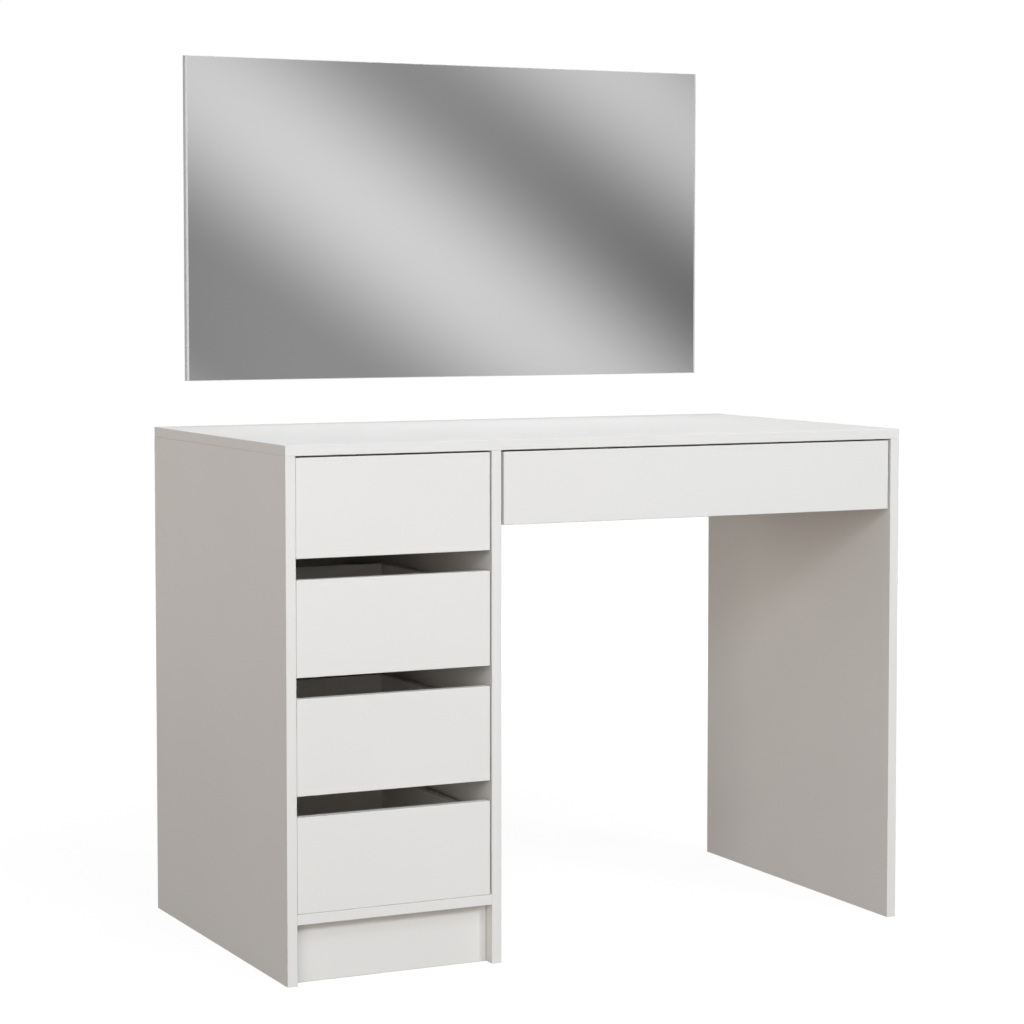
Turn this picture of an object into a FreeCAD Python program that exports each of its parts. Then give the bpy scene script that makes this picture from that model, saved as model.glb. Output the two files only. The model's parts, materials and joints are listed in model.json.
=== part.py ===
# Dressing table: a pedestal of four drawers, a wide drawer over the kneehole and a wall mirror.
# Millimetres. +Z is up, the drawers open towards -Y, and +X is to the right seen from the front.
# The origin is on the floor, at the middle of the table's plan.
import FreeCAD
import Part
import math
import os

# Overall size of the table
table_width = 1000.0
table_depth = 550.0
table_height = 750.0

# Boards
board = 15.0                    # melamine-faced board of the carcass and the drawer fronts
box_board = 12.0                # drawer sides and backs
hardboard = 3.0                 # pedestal back and drawer bottoms
edge_bevel = 0.5                # trimmed edge of the banding
groove_play = 0.1               # clearance on each face of a board in its groove
groove_end_play = 0.5           # board short of the end of its groove

# Pedestal and kneehole
pedestal_opening = 298.0        # between the left side and the partition
bottom_height = 85.0            # floor to the underside of the pedestal's bottom board
plinth_setback = 19.0
plinth_end_gap = 0.6            # open joint at each end of the plinth
back_inset = 12.0               # pedestal back, forward of the carcass's rear edge
back_groove_depth = 8.0
rail_height = 100.0             # rear rail over the kneehole

# Drawer fronts, set flush between the boards
finger_gap = 29.5               # between one pedestal front and the next
gap_under_top = 2.5
gap_over_bottom = 0.4
pedestal_gap_left = 0.4
pedestal_gap_right = 3.0
wide_gap_left = 4.0
wide_gap_right = 4.5
top_front_extra = 4.0           # the top front is this much taller than the middle two
bottom_front_less = 0.4         # and the bottom front this much lower
wide_front_height = 104.0

# Drawer boxes
box_length = 335.0
pedestal_box_shortfall = 30.0   # a box is this much lower than a middle front
wide_box_shortfall = 29.0
box_drop_1 = 23.0               # front's top edge down to the box's top edge, drawer by drawer
box_drop_2 = 19.0
box_drop_3 = 24.5
box_drop_4 = 13.5
wide_box_drop = 19.0
bottom_lift = 12.0              # box's lower edge up to the hardboard bottom
bottom_groove_depth = 6.0
back_housing = 4.0              # drawer back let into the sides

# Roller runners
drawer_travel = 235.0
runner_gap = 12.5               # between the carcass and the drawer's side
runner_steel = 1.2
runner_lift = 4.0               # box's lower edge up to the cabinet runner's lower flange
runner_setback = 3.0            # cabinet runner behind the drawer front
runner_foot = 10.0              # drawer runner's foot under the drawer's side
lip_height = 3.0
lip_clearance = 0.4
flange_clearance = 1.0          # drawer runner's flange below the cabinet runner's upper flange
flange_end_gap = 1.5            # drawer runner's flange short of the cabinet runner's web
roller_radius = 8.5
roller_width = 6.0
roller_inset = 28.0             # front roller's axle behind the drawer front
roller_play = 0.15              # at the rolling faces
roller_stop_gap = 0.4           # rear roller short of its stops
axle_radius = 2.5
axle_play = 0.08

# Knock-down fittings, which repeat and so have few faces
cam_radius = 7.5
cam_sides = 10
cam_wall = 2.5                  # board left under a cam
cam_reach = 34.0                # joint to the cam's centre
bolt_radius = 3.0
bolt_gap = 2.0                  # cam's centre to the bolt's head
dowel_radius = 4.0
dowel_length = 30.0
pin_sides = 6                   # faces round a bolt or a dowel
pin_wall = 4.0                  # board left beyond a bolt or a dowel
fitting_play = 0.1
fitting_inset = 60.0            # fittings in from the front and back edges
rail_cam_drop = 45.0            # below the tabletop

# Mirror on the wall behind the table
mirror_width = 900.0
mirror_height = 500.0
mirror_rise = 70.0              # above the tabletop
mirror_glass_thick = 3.0
mirror_board_thick = 9.0
bevel_width = 3.0               # ground bevel at the left and right ends
bevel_depth = 1.0
arris_width = 1.0               # ground arris along the top and bottom edges
hanger_spread = 600.0
hanger_drop = 60.0              # mirror's top edge down to the middle of a hanger
hanger_width = 22.0
hanger_height = 46.0
hanger_steel = 1.5
hanger_play = 0.1
keyhole_radius = 4.5
keyhole_slot_radius = 2.3
keyhole_length = 14.0
keyhole_pocket = 4.5            # room for the screw's head behind the plate

# Places worked out from the sizes above
front_y = -table_depth / 2
back_y = table_depth / 2
fronts_back_y = front_y + board
top_underside = table_height - board
left_outer = -table_width / 2
left_inner = left_outer + board
partition_left = left_inner + pedestal_opening
partition_right = partition_left + board
right_outer = table_width / 2
right_inner = right_outer - board
bottom_top = bottom_height + board
plinth_y = front_y + plinth_setback
back_panel_rear_y = back_y - back_inset
back_panel_front_y = back_panel_rear_y - hardboard
box_back_y = fronts_back_y + box_length

# Heights in a runner, above the lower edge of the drawer's side
channel_floor = runner_lift + runner_steel
axle_height = channel_floor + roller_play + roller_radius
flange_under = axle_height + roller_radius + roller_play
channel_roof = flange_under + runner_steel + flange_clearance

# Lengths along a runner
cabinet_runner_y = fronts_back_y + runner_setback
front_axle_y = fronts_back_y + roller_inset
rear_axle_y = front_axle_y + 2 * roller_radius + roller_stop_gap + drawer_travel
channel_front_y = front_axle_y + roller_radius + roller_stop_gap
channel_stop_y = rear_axle_y + roller_radius + roller_stop_gap
channel_end_y = channel_stop_y + runner_steel
flange_end_y = rear_axle_y - roller_radius - roller_stop_gap

# Places across a runner, counted from the carcass towards the drawer
drawer_web = runner_gap - runner_steel
lip_outer = drawer_web - lip_clearance
roller_near = (runner_gap - roller_width) / 2
roller_far = roller_near + roller_width

along_x = FreeCAD.Vector(1, 0, 0)
along_y = FreeCAD.Vector(0, 1, 0)
along_z = FreeCAD.Vector(0, 0, 1)
over_cut = 1.0                  # cutting tools run this far past the faces they open


def block(x0, x1, y0, y1, z0, z1):
    corner = FreeCAD.Vector(min(x0, x1), min(y0, y1), min(z0, z1))
    return Part.makeBox(abs(x1 - x0), abs(y1 - y0), abs(z1 - z0), corner)


def rod(radius, start, direction, length):
    return Part.makeCylinder(radius, length, start, direction)


def prism(sides, radius, start, direction, length):
    across = along_x if direction.x == 0 else along_z
    other = direction.cross(across)
    corners = []
    for k in range(sides):
        angle = 2 * math.pi * k / sides
        corners.append(start + across * (radius * math.cos(angle)) + other * (radius * math.sin(angle)))
    outline = Part.makePolygon(corners + corners[:1])
    return Part.Face(outline).extrude(direction * length)


def fuse_all(solids):
    return solids[0].multiFuse(solids[1:]).removeSplitter()


def trim_edges(solid, wanted):
    chosen = [edge for edge in solid.Edges if wanted(edge)]
    return solid.makeChamfer(edge_bevel, chosen)


def all_edges(edge):
    return True


def lies_at(edge, axis, place):
    return all(abs(getattr(vertex.Point, axis) - place) < edge_bevel / 2 for vertex in edge.Vertexes)


def front_edges(edge):
    # Long edges of a board's front face
    return lies_at(edge, "y", front_y) and edge.Length > 2 * board


def upright_edges(edge):
    # Front edges, and the outer edge that meets the tabletop in a fine groove
    outer = lies_at(edge, "x", left_outer) or lies_at(edge, "x", right_outer)
    return front_edges(edge) or (outer and lies_at(edge, "z", top_underside))


def plinth_edges(edge):
    return lies_at(edge, "y", plinth_y)


def carcass_boards():
    boards = {}
    top = block(left_outer, right_outer, front_y, back_y, top_underside, table_height)
    boards["tabletop"] = trim_edges(top, all_edges)
    left = block(left_outer, left_inner, front_y, back_y, 0, top_underside)
    boards["left_side_panel"] = trim_edges(left, upright_edges)
    partition = block(partition_left, partition_right, front_y, back_y, 0, top_underside)
    boards["partition_panel"] = trim_edges(partition, upright_edges)
    right = block(right_inner, right_outer, front_y, back_y, 0, top_underside)
    boards["right_side_panel"] = trim_edges(right, upright_edges)
    bottom = block(left_inner, partition_left, front_y, back_panel_front_y - groove_play,
                   bottom_height, bottom_top)
    boards["pedestal_bottom_panel"] = trim_edges(bottom, front_edges)
    plinth = block(left_inner + plinth_end_gap, partition_left - plinth_end_gap, plinth_y, plinth_y + board,
                   0, bottom_height)
    boards["plinth_board"] = trim_edges(plinth, plinth_edges)
    boards["kneehole_rear_rail"] = block(partition_right, right_inner, back_y - board, back_y,
                                         top_underside - rail_height, top_underside)
    return boards


def add_pedestal_back(boards):
    # Hardboard held in a groove of the left side and of the partition
    let_in = back_groove_depth - groove_end_play
    boards["pedestal_back_panel"] = block(left_inner - let_in, partition_left + let_in,
                                          back_panel_front_y, back_panel_rear_y,
                                          bottom_height, top_underside)
    groove_front = back_panel_front_y - groove_play
    groove_rear = back_panel_rear_y + groove_play
    left_groove = block(left_inner - back_groove_depth, left_inner + over_cut, groove_front, groove_rear,
                        -over_cut, top_underside + over_cut)
    boards["left_side_panel"] = boards["left_side_panel"].cut(left_groove)
    right_groove = block(partition_left - over_cut, partition_left + back_groove_depth, groove_front,
                         groove_rear, -over_cut, top_underside + over_cut)
    boards["partition_panel"] = boards["partition_panel"].cut(right_groove)


def cam_joint(boards, holder, other, face_point, face_normal, towards):
    # A cam let into a face of the holder draws a bolt that is screwed into the other board
    inwards = face_normal * -1
    middle = face_point + inwards * (board / 2)
    cam_depth = board - cam_wall
    bolt_end = cam_reach + board - pin_wall
    pocket = prism(cam_sides, cam_radius + fitting_play, face_point, inwards, cam_depth + fitting_play)
    hole = prism(pin_sides, bolt_radius + fitting_play, middle, towards, bolt_end + fitting_play)
    boards[holder] = boards[holder].cut([pocket, hole])
    boards[other] = boards[other].cut(hole)
    cam = prism(cam_sides, cam_radius, face_point, inwards, cam_depth).cut(hole)
    bolt = prism(pin_sides, bolt_radius, middle + towards * bolt_gap, towards, bolt_end - bolt_gap)
    return cam, bolt


def dowel_joint(boards, holder, other, joint, towards):
    # Partly in an edge of the holder, partly in a face of the other board
    start = joint - towards * (dowel_length - board + pin_wall)
    hole = prism(pin_sides, dowel_radius + fitting_play, start - towards * fitting_play, towards,
                 dowel_length + 2 * fitting_play)
    boards[holder] = boards[holder].cut(hole)
    boards[other] = boards[other].cut(hole)
    return prism(pin_sides, dowel_radius, start, towards, dowel_length)


def carcass_fittings(boards):
    cam_pairs = []
    dowels = []

    # Uprights under the tabletop
    uprights = (
        ("left_side_panel", left_inner, along_x),
        ("partition_panel", partition_left, along_x * -1),
        ("right_side_panel", right_inner, along_x * -1),
    )
    for node, face_x, normal in uprights:
        for y in (front_y + fitting_inset, back_y - fitting_inset):
            face_point = FreeCAD.Vector(face_x, y, top_underside - cam_reach)
            cam_pairs.append(cam_joint(boards, node, "tabletop", face_point, normal, along_z))
        joint = FreeCAD.Vector(face_x - normal.x * board / 2, 0, top_underside)
        dowels.append(dowel_joint(boards, node, "tabletop", joint, along_z))

    # Pedestal bottom and plinth between the left side and the partition
    plinth_middle_y = plinth_y + board / 2
    rear_y = back_panel_front_y - fitting_inset
    bottom_ends = (
        ("left_side_panel", left_inner, along_x * -1),
        ("partition_panel", partition_left, along_x),
    )
    for node, joint_x, towards in bottom_ends:
        underside = FreeCAD.Vector(joint_x - towards.x * cam_reach, rear_y, bottom_height)
        cam_pairs.append(cam_joint(boards, "pedestal_bottom_panel", node, underside, along_z * -1, towards))
        joint = FreeCAD.Vector(joint_x, front_y + fitting_inset, bottom_height + board / 2)
        dowels.append(dowel_joint(boards, "pedestal_bottom_panel", node, joint, towards))
        joint = FreeCAD.Vector(joint_x, plinth_middle_y, bottom_height / 2)
        dowels.append(dowel_joint(boards, "plinth_board", node, joint, towards))

    # Rear rail between the partition and the right side
    rail_ends = (
        ("partition_panel", partition_right, along_x * -1),
        ("right_side_panel", right_inner, along_x),
    )
    for node, joint_x, towards in rail_ends:
        cam_x = joint_x - towards.x * cam_reach
        face_point = FreeCAD.Vector(cam_x, back_y - board, top_underside - rail_cam_drop)
        cam_pairs.append(cam_joint(boards, "kneehole_rear_rail", node, face_point, along_y * -1, towards))

    return {
        "cam_locks": Part.makeCompound([cam for cam, bolt in cam_pairs]),
        "cam_bolts": Part.makeCompound([bolt for cam, bolt in cam_pairs]),
        "wood_dowels": Part.makeCompound(dowels),
    }


def runner_section(points, carcass_x, side, base_z, y0, y1):
    # A bent strip's outline, as (distance from the carcass, height) pairs, run from y0 to y1
    corners = [FreeCAD.Vector(carcass_x + side * s, y0, base_z + z) for s, z in points]
    outline = Part.makePolygon(corners + corners[:1])
    return Part.Face(outline).extrude(along_y * (y1 - y0))


def axle(carcass_x, side, base_z, axle_y, start, end):
    # Plain pin from the web that holds it to the far face of its roller
    towards = along_x * (side if end > start else -side)
    web = FreeCAD.Vector(carcass_x + side * start, axle_y, base_z + axle_height)
    return rod(axle_radius, web, towards, abs(end - start))


def cabinet_runner(carcass_x, side, base_z):
    floor_under = channel_floor - runner_steel
    roof_top = channel_roof + runner_steel
    web = [(0, floor_under), (runner_steel, floor_under), (runner_steel, roof_top), (0, roof_top)]
    floor = [
        (0, floor_under),
        (lip_outer, floor_under),
        (lip_outer, channel_floor + lip_height),
        (lip_outer - runner_steel, channel_floor + lip_height),
        (lip_outer - runner_steel, channel_floor),
        (0, channel_floor),
    ]
    roof = [(0, channel_roof), (lip_outer, channel_roof), (lip_outer, roof_top), (0, roof_top)]
    stop = [(0, channel_floor), (roller_far, channel_floor), (roller_far, channel_roof), (0, channel_roof)]
    solids = [
        runner_section(web, carcass_x, side, base_z, cabinet_runner_y, channel_end_y),
        runner_section(floor, carcass_x, side, base_z, channel_front_y, channel_end_y),
        runner_section(roof, carcass_x, side, base_z, channel_front_y, channel_end_y),
        runner_section(stop, carcass_x, side, base_z, channel_stop_y, channel_end_y),
        axle(carcass_x, side, base_z, front_axle_y, runner_steel, roller_far),
    ]
    return fuse_all(solids)


def drawer_runner(carcass_x, side, base_z):
    foot_end = runner_gap + runner_foot
    angle = [
        (drawer_web, -runner_steel),
        (foot_end, -runner_steel),
        (foot_end, 0),
        (runner_gap, 0),
        (runner_gap, flange_under + runner_steel),
        (drawer_web, flange_under + runner_steel),
    ]
    flange_start = runner_steel + flange_end_gap
    flange = [
        (flange_start, flange_under),
        (runner_gap, flange_under),
        (runner_gap, flange_under + runner_steel),
        (flange_start, flange_under + runner_steel),
    ]
    solids = [
        runner_section(angle, carcass_x, side, base_z, fronts_back_y, channel_stop_y),
        runner_section(flange, carcass_x, side, base_z, fronts_back_y, flange_end_y),
        axle(carcass_x, side, base_z, rear_axle_y, drawer_web, roller_near),
    ]
    return fuse_all(solids)


def roller(carcass_x, side, base_z, axle_y):
    start = FreeCAD.Vector(carcass_x + side * roller_near, axle_y, base_z + axle_height)
    towards = along_x * side
    bore = rod(axle_radius + axle_play, start, towards, roller_width)
    return rod(roller_radius, start, towards, roller_width).cut(bore)


def drawer(name, opening, front_x, front_z, box_z):
    # opening: carcass faces left and right of the drawer; the other pairs are low and high limits
    box_left = opening[0] + runner_gap
    box_right = opening[1] - runner_gap
    inner_left = box_left + box_board
    inner_right = box_right - box_board
    back_front_y = box_back_y - box_board

    groove_z = box_z[0] + bottom_lift
    groove = block(inner_left - bottom_groove_depth, inner_right + bottom_groove_depth,
                   fronts_back_y - bottom_groove_depth, back_front_y + bottom_groove_depth,
                   groove_z - groove_play, groove_z + hardboard + groove_play)
    let_in = bottom_groove_depth - groove_end_play
    bottom = block(inner_left - let_in, inner_right + let_in, fronts_back_y - let_in, back_front_y + let_in,
                   groove_z, groove_z + hardboard)

    front = block(front_x[0], front_x[1], front_y, fronts_back_y, front_z[0], front_z[1])
    back = block(inner_left - back_housing, inner_right + back_housing, back_front_y, box_back_y,
                 box_z[0], box_z[1])
    left = block(box_left, inner_left, fronts_back_y, box_back_y, box_z[0], box_z[1])
    right = block(inner_right, box_right, fronts_back_y, box_back_y, box_z[0], box_z[1])

    nodes = {
        name + "_front": trim_edges(front, all_edges).cut(groove),
        name + "_left_side": left.cut([groove, back]),
        name + "_right_side": right.cut([groove, back]),
        name + "_back": back.cut(groove),
        name + "_bottom": bottom,
    }
    carcass = ((opening[0], 1), (opening[1], -1))
    pairs = {
        "_cabinet_runners": [cabinet_runner(x, side, box_z[0]) for x, side in carcass],
        "_runners": [drawer_runner(x, side, box_z[0]) for x, side in carcass],
        "_front_rollers": [roller(x, side, box_z[0], front_axle_y) for x, side in carcass],
        "_rear_rollers": [roller(x, side, box_z[0], rear_axle_y) for x, side in carcass],
    }
    for suffix, pair in pairs.items():
        nodes[name + suffix] = Part.makeCompound(pair)
    return nodes


def pedestal_drawers():
    # From the bottom up: how much taller than a middle front, and how far down its box starts
    rows = (
        ("drawer_4", -bottom_front_less, box_drop_4),
        ("drawer_3", 0, box_drop_3),
        ("drawer_2", 0, box_drop_2),
        ("drawer_1", top_front_extra, box_drop_1),
    )
    clear_height = top_underside - bottom_top
    gaps = gap_under_top + gap_over_bottom + (len(rows) - 1) * finger_gap
    extras = sum(extra for name, extra, box_drop in rows)
    middle_front = (clear_height - gaps - extras) / len(rows)
    box_height = middle_front - pedestal_box_shortfall
    nodes = {}
    low = bottom_top + gap_over_bottom
    for name, extra, box_drop in rows:
        high = low + middle_front + extra
        box_top = high - box_drop
        nodes.update(drawer(
            name,
            (left_inner, partition_left),
            (left_inner + pedestal_gap_left, partition_left - pedestal_gap_right),
            (low, high),
            (box_top - box_height, box_top),
        ))
        low = high + finger_gap
    return nodes


def wide_drawer():
    high = top_underside - gap_under_top
    box_top = high - wide_box_drop
    box_height = wide_front_height - wide_box_shortfall
    return drawer(
        "wide_drawer",
        (partition_right, right_inner),
        (partition_right + wide_gap_left, right_inner - wide_gap_right),
        (high - wide_front_height, high),
        (box_top - box_height, box_top),
    )


def rectangle(half_width, low, high, y):
    corners = [
        FreeCAD.Vector(-half_width, y, low),
        FreeCAD.Vector(half_width, y, low),
        FreeCAD.Vector(half_width, y, high),
        FreeCAD.Vector(-half_width, y, high),
    ]
    return Part.makePolygon(corners + corners[:1])


def hanger_cutter(x, z):
    # Keyhole: the screw's head enters the round hole, then the mirror drops onto the slot's end
    start_y = back_y - hanger_steel - over_cut
    length = hanger_steel + 2 * over_cut
    seat_z = z + keyhole_length
    solids = [
        rod(keyhole_radius, FreeCAD.Vector(x, start_y, z), along_y, length),
        block(x - keyhole_slot_radius, x + keyhole_slot_radius, start_y, start_y + length, z, seat_z),
        rod(keyhole_slot_radius, FreeCAD.Vector(x, start_y, seat_z), along_y, length),
    ]
    return fuse_all(solids)


def mirror():
    half = mirror_width / 2
    low = table_height + mirror_rise
    high = low + mirror_height
    glass_back = back_y - mirror_board_thick
    glass_front = glass_back - mirror_glass_thick
    bevel_y = glass_front + bevel_depth
    slab = block(-half, half, bevel_y, glass_back, low, high)
    bevel = Part.makeLoft([
        rectangle(half, low, high, bevel_y),
        rectangle(half - bevel_width, low + arris_width, high - arris_width, glass_front),
    ], True, True)
    backing = block(-half, half, glass_back, back_y, low, high)

    hangers = []
    recesses = []
    middle_z = high - hanger_drop
    for x in (-hanger_spread / 2, hanger_spread / 2):
        plate_low = middle_z - hanger_height / 2
        plate_high = middle_z + hanger_height / 2
        plate = block(x - hanger_width / 2, x + hanger_width / 2, back_y - hanger_steel, back_y,
                      plate_low, plate_high)
        hangers.append(plate.cut(hanger_cutter(x, middle_z - keyhole_length / 2)))
        recess = block(x - hanger_width / 2 - hanger_play, x + hanger_width / 2 + hanger_play,
                       back_y - hanger_steel, back_y + over_cut,
                       plate_low - hanger_play, plate_high + hanger_play)
        pocket = block(x - keyhole_radius, x + keyhole_radius,
                       back_y - hanger_steel - keyhole_pocket, back_y,
                       middle_z - keyhole_length / 2 - keyhole_radius,
                       middle_z + keyhole_length / 2 + keyhole_radius)
        recesses += [recess, pocket]
    return {
        "mirror_glass": slab.fuse(bevel).removeSplitter(),
        "mirror_backing_board": backing.cut(recesses),
        "mirror_hangers": Part.makeCompound(hangers),
    }


def build():
    nodes = carcass_boards()
    add_pedestal_back(nodes)
    nodes.update(carcass_fittings(nodes))
    nodes.update(pedestal_drawers())
    nodes.update(wide_drawer())
    nodes.update(mirror())
    os.makedirs("parts", exist_ok=True)
    for name, shape in nodes.items():
        shape.exportStep("parts/" + name + ".step")
    print(len(nodes), "nodes; runner length", round(channel_end_y - cabinet_runner_y, 1))


build()
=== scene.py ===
# Dressing table with a drawer pedestal, a wide drawer and a wall mirror: finishes, small fittings, studio.
# Metres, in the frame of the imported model: +Z up, the drawers open towards -Y, +X to the right.
import bpy
import json
import math
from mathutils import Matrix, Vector


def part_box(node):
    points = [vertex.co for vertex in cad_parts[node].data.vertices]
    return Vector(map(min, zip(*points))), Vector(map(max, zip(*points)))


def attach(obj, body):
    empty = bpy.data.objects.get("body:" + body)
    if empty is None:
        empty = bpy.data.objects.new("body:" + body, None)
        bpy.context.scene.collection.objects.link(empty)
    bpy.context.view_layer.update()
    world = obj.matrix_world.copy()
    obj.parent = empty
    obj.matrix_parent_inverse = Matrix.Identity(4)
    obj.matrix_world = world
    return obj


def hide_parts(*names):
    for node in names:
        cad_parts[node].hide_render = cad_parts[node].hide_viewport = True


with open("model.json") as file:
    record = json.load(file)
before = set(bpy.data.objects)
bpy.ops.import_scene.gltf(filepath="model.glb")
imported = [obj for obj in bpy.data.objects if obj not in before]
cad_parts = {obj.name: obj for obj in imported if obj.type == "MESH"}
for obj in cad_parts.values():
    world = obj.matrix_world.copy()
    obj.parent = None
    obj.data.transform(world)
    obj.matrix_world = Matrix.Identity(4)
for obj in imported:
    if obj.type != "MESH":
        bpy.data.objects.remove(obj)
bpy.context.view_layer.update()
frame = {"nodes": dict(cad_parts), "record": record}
nodes = frame["nodes"]
drawerNames = ["drawer_1", "drawer_2", "drawer_3", "drawer_4", "wide_drawer"]
mm = 0.001
facing = 0.9  # a face looks along an axis when its normal reaches this far that way
print("stage 1: frame loaded,", len(nodes), "nodes")


def hexColour(text):  # sRGB hex to linear RGBA
    values = [int(text[i:i + 2], 16) / 255 for i in (1, 3, 5)]
    linear = [v / 12.92 if v <= 0.04045 else ((v + 0.055) / 1.055) ** 2.4 for v in values]
    return (*linear, 1.0)


def addNode(tree, kind, settings=None, inputs=None):
    # A node with its settings, numbers and links. Mix sockets go by number: 0 is the factor,
    # 2 and 3 take numbers, 4 and 5 vectors, 6 and 7 colours, and outputs 0, 1 and 2 give the result of each.
    node = tree.nodes.new(kind)
    for name, value in (settings or {}).items():
        setattr(node, name, value)
    for name, value in (inputs or {}).items():
        if isinstance(value, bpy.types.NodeSocket):
            tree.links.new(value, node.inputs[name])
        else:
            node.inputs[name].default_value = value
    return node


def newMaterial(name):  # an empty material, its tree, and the coordinates that its patterns read
    material = bpy.data.materials.new(name)
    material.use_nodes = True
    tree = material.node_tree
    tree.nodes.clear()
    return material, tree, addNode(tree, "ShaderNodeTexCoord").outputs["Object"]


def perMetre(millimetres):  # texture scale for a feature of that real size
    return 1000.0 / millimetres


# Melamine-faced chipboard: white paper pressed in resin against a fine pearl plate,
# so satin with a soft sheen. Rear edges are left as sawn chipboard: tan flakes in glue.
# Sizes and depths in mm.
melamine = {
    "tones": ("#E6E5E2", "#EAE9E6"),
    "cloud": 160.0,           # faint clouding of the paper
    "roughness": (0.46, 0.56),
    "specular": 0.35,
    "pearl": 2.2,             # the real pearl is about 0.5 mm, drawn coarser so that it shows
    "pearlDepth": 0.04,
    "pearlStrength": 0.3,
    "edgeRound": 0.6,
    "flake": 3.0,             # wood flakes in the core
    "flakeTones": ("#8F6E45", "#C3A06B", "#DCC69B"),
    "flakeMiddle": 0.45,      # share of the flakes that are darker than the middle tone
    "flakeDepth": 0.4,
    "flakeStrength": 0.6,
    "sawnRoughness": 0.85,
}


def melamineBoard(name, sawnRear):
    material, tree, place = newMaterial(name)
    cloud = addNode(tree, "ShaderNodeTexNoise", inputs={
        "Vector": place, "Scale": perMetre(melamine["cloud"]), "Detail": 2.0})
    paper = addNode(tree, "ShaderNodeMix", {"data_type": "RGBA"}, {
        0: cloud.outputs["Fac"], 6: hexColour(melamine["tones"][0]), 7: hexColour(melamine["tones"][1])})
    pearl = addNode(tree, "ShaderNodeTexNoise", inputs={
        "Vector": place, "Scale": perMetre(melamine["pearl"]), "Detail": 3.0})
    gloss = addNode(tree, "ShaderNodeMapRange", inputs={
        "Value": pearl.outputs["Fac"],
        "To Min": melamine["roughness"][0], "To Max": melamine["roughness"][1]})
    softEdge = addNode(tree, "ShaderNodeBevel", {"samples": 4}, {"Radius": melamine["edgeRound"] * mm})
    grain = addNode(tree, "ShaderNodeBump", inputs={
        "Strength": melamine["pearlStrength"], "Distance": melamine["pearlDepth"] * mm,
        "Height": pearl.outputs["Fac"], "Normal": softEdge.outputs["Normal"]})
    colour = paper.outputs[2]
    rough = gloss.outputs["Result"]
    normal = grain.outputs["Normal"]
    if sawnRear:
        towards = addNode(tree, "ShaderNodeSeparateXYZ", inputs={
            "Vector": addNode(tree, "ShaderNodeNewGeometry").outputs["True Normal"]})
        sawn = addNode(tree, "ShaderNodeMath", {"operation": "GREATER_THAN"}, {
            0: towards.outputs["Y"], 1: facing})
        flakes = addNode(tree, "ShaderNodeTexVoronoi", inputs={
            "Vector": place, "Scale": perMetre(melamine["flake"])})
        shade = addNode(tree, "ShaderNodeSeparateColor", inputs={"Color": flakes.outputs["Color"]})
        core = addNode(tree, "ShaderNodeValToRGB", inputs={"Fac": shade.outputs["Red"]})
        dark, middle, light = [hexColour(tone) for tone in melamine["flakeTones"]]
        core.color_ramp.elements[0].color = dark
        core.color_ramp.elements[1].color = light
        core.color_ramp.elements.new(melamine["flakeMiddle"]).color = middle
        pits = addNode(tree, "ShaderNodeBump", inputs={
            "Strength": melamine["flakeStrength"], "Distance": melamine["flakeDepth"] * mm,
            "Height": flakes.outputs["Distance"]})
        colour = addNode(tree, "ShaderNodeMix", {"data_type": "RGBA"}, {
            0: sawn.outputs[0], 6: colour, 7: core.outputs["Color"]}).outputs[2]
        rough = addNode(tree, "ShaderNodeMix", {"data_type": "FLOAT"}, {
            0: sawn.outputs[0], 2: rough, 3: melamine["sawnRoughness"]}).outputs[0]
        normal = addNode(tree, "ShaderNodeMix", {"data_type": "VECTOR"}, {
            0: sawn.outputs[0], 4: normal, 5: pits.outputs["Normal"]}).outputs[1]
    shader = addNode(tree, "ShaderNodeBsdfPrincipled", inputs={
        "Base Color": colour, "Specular IOR Level": melamine["specular"], "Roughness": rough,
        "Normal": normal})
    addNode(tree, "ShaderNodeOutputMaterial", inputs={"Surface": shader.outputs["BSDF"]})
    return material


# Foil-wrapped drawer board: thin white foil over fibreboard, matt,
# with a shallow printed pore along the board. Sizes and depths in mm.
drawerFoil = {
    "tones": ("#E9E7E3", "#EFEDE9"),
    "pore": (1.6, 40.0, 1.6),  # across, along, across; the real pore is half as wide, drawn so that it shows
    "poreDepth": 0.05,
    "poreStrength": 0.4,
    "roughness": (0.52, 0.64),
    "specular": 0.3,
}


def foilBoard():
    material, tree, place = newMaterial("drawerFoilBoard")
    stretched = addNode(tree, "ShaderNodeMapping", inputs={
        "Vector": place, "Scale": tuple(perMetre(size) for size in drawerFoil["pore"])})
    pore = addNode(tree, "ShaderNodeTexNoise", inputs={
        "Vector": stretched.outputs["Vector"], "Scale": 1.0, "Detail": 2.0})
    tone = addNode(tree, "ShaderNodeMix", {"data_type": "RGBA"}, {
        0: pore.outputs["Fac"], 6: hexColour(drawerFoil["tones"][0]), 7: hexColour(drawerFoil["tones"][1])})
    gloss = addNode(tree, "ShaderNodeMapRange", inputs={
        "Value": pore.outputs["Fac"],
        "To Min": drawerFoil["roughness"][0], "To Max": drawerFoil["roughness"][1]})
    bump = addNode(tree, "ShaderNodeBump", inputs={
        "Strength": drawerFoil["poreStrength"], "Distance": drawerFoil["poreDepth"] * mm,
        "Height": pore.outputs["Fac"]})
    shader = addNode(tree, "ShaderNodeBsdfPrincipled", inputs={
        "Base Color": tone.outputs[2], "Specular IOR Level": drawerFoil["specular"],
        "Roughness": gloss.outputs["Result"], "Normal": bump.outputs["Normal"]})
    addNode(tree, "ShaderNodeOutputMaterial", inputs={"Surface": shader.outputs["BSDF"]})
    return material


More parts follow.
